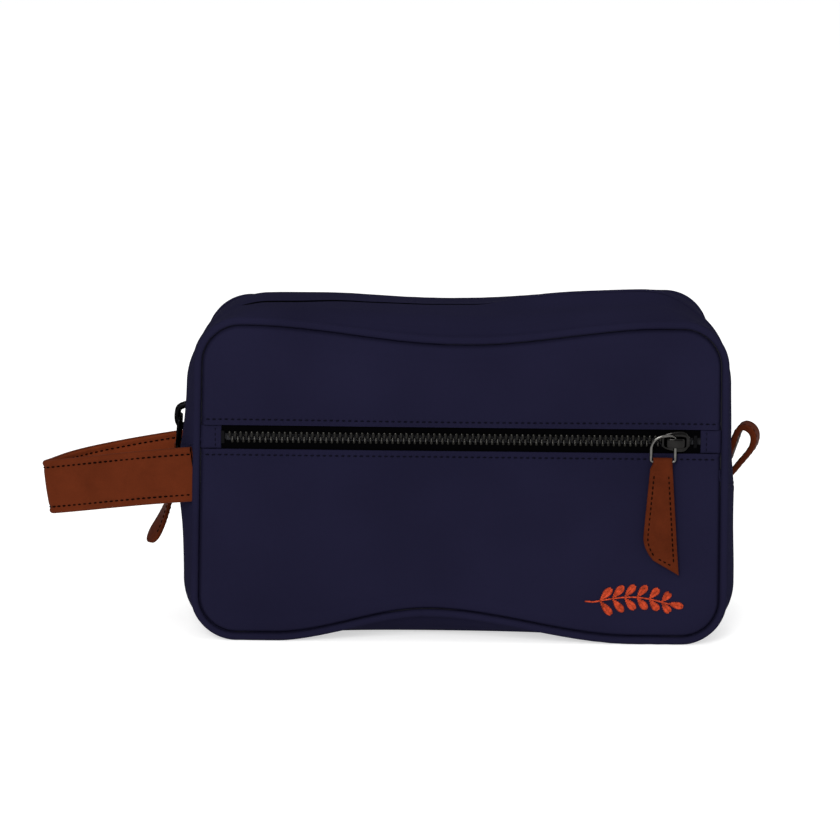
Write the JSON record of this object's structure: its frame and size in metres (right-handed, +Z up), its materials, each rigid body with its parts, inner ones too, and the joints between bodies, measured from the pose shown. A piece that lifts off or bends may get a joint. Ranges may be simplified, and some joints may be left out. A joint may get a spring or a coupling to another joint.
{
  "type": "shaving kit bag",
  "caption": "Soft canvas wash bag with piped seams, a zipped front pocket, a main zip over the top, a leather wrist strap, a leather tab loop and leather zip pulls.",
  "frame": {"origin": "middle of the flat underside that the bag stands on", "axes": "+X along the bag's length, from the wrist strap towards the tab loop; +Y from the front pocket towards the back; +Z up"},
  "size_m": [0.3585, 0.1006, 0.164],
  "materials": {
    "navy_canvas": "matt coated canvas, very dark navy",
    "black_tape": "matt woven tape",
    "lining_cloth": "smooth woven lining",
    "binding_tape": "matt woven binding",
    "piping_cord": "twisted cotton cord",
    "gunmetal_teeth": "tumbled gunmetal",
    "black_nickel": "polished black nickel",
    "ring_wire": "polished black nickel wire",
    "brown_leather": "smooth chestnut leather with cut edges",
    "embroidery_thread": "glossy satin-stitched thread"
  },
  "bodies": {
    "bag": {"back_panel": "navy_canvas", "bottom_gusset": "navy_canvas", "embroidered_sprig": "embroidery_thread", "front_lower_panel": "navy_canvas", "front_pocket_back": "lining_cloth", "front_upper_panel": "navy_canvas", "front_zip_stops": "gunmetal_teeth", "front_zip_tape_lower": "black_tape", "front_zip_tape_upper": "black_tape", "front_zip_teeth_lower": "gunmetal_teeth", "front_zip_teeth_upper": "gunmetal_teeth", "lining_back": "lining_cloth", "lining_front": "lining_cloth", "lining_gusset_back": "lining_cloth", "lining_gusset_bottom": "lining_cloth", "lining_gusset_front": "lining_cloth", "main_zip_stops": "gunmetal_teeth", "main_zip_tape_back": "black_tape", "main_zip_tape_front": "black_tape", "main_zip_teeth_back": "gunmetal_teeth", "main_zip_teeth_front": "gunmetal_teeth", "piping_back": "navy_canvas", "piping_cord_back": "piping_cord", "piping_cord_front": "piping_cord", "piping_front": "navy_canvas", "seam_binding_back": "binding_tape", "seam_binding_front": "binding_tape", "side_tab_loop": "brown_leather", "strap_root_back": "brown_leather", "strap_root_front": "brown_leather", "zip_end_tab_left": "navy_canvas", "zip_end_tab_right": "navy_canvas", "zip_gusset_back": "navy_canvas", "zip_gusset_front": "navy_canvas"},
    "strap": {"strap_inner_leather": "brown_leather", "strap_outer_leather": "brown_leather"},
    "front_slider": {"front_slider_body": "black_nickel", "front_slider_bridge": "black_nickel"},
    "front_ring": {"front_pull_ring": "ring_wire"},
    "front_pull": {"front_pull_leather": "brown_leather"},
    "main_slider": {"main_slider_body": "black_nickel", "main_slider_bridge": "black_nickel"},
    "main_ring": {"main_pull_ring": "ring_wire"},
    "main_pull": {"main_pull_leather": "brown_leather"}
  },
  "joints": [
    {"name": "front_zip_slide", "type": "slide", "parent": "bag", "child": "front_slider", "axis": [-1, 0, 0], "range_m": [0, 0.212], "deforming": ["front_zip_teeth_lower", "front_zip_teeth_upper"]},
    {"name": "front_ring_swing", "type": "hinge", "parent": "front_slider", "child": "front_ring", "pos_m": [0.1041, -0.0501, 0.1025], "axis": [0, 0, 1], "range_deg": [0, 18]},
    {"name": "front_pull_swing", "type": "hinge", "parent": "front_ring", "child": "front_pull", "pos_m": [0.09825, -0.0501, 0.0931], "axis": [-1, 0, 0], "range_deg": [0, 95]},
    {"name": "main_zip_slide", "type": "slide", "parent": "bag", "child": "main_slider", "axis": [0, 0, 1], "range_m": [0, 0.016], "deforming": ["main_zip_teeth_front", "main_zip_teeth_back"]},
    {"name": "main_ring_swing", "type": "hinge", "parent": "main_slider", "child": "main_ring", "pos_m": [-0.1402, 0, 0.103], "axis": [0, 1, 0], "range_deg": [0, 15]},
    {"name": "main_pull_swing", "type": "hinge", "parent": "main_ring", "child": "main_pull", "pos_m": [-0.14125, 0, 0.08804], "axis": [0, 1, 0], "range_deg": [0, 12]},
    {"name": "strap_tilt", "type": "hinge", "parent": "bag", "child": "strap", "pos_m": [-0.1539, 0, 0.0762], "axis": [0, 1, 0], "range_deg": [-30, 30], "stiffness_Nm_per_rad": 0.06, "springref_deg": 2.86}
  ]
}
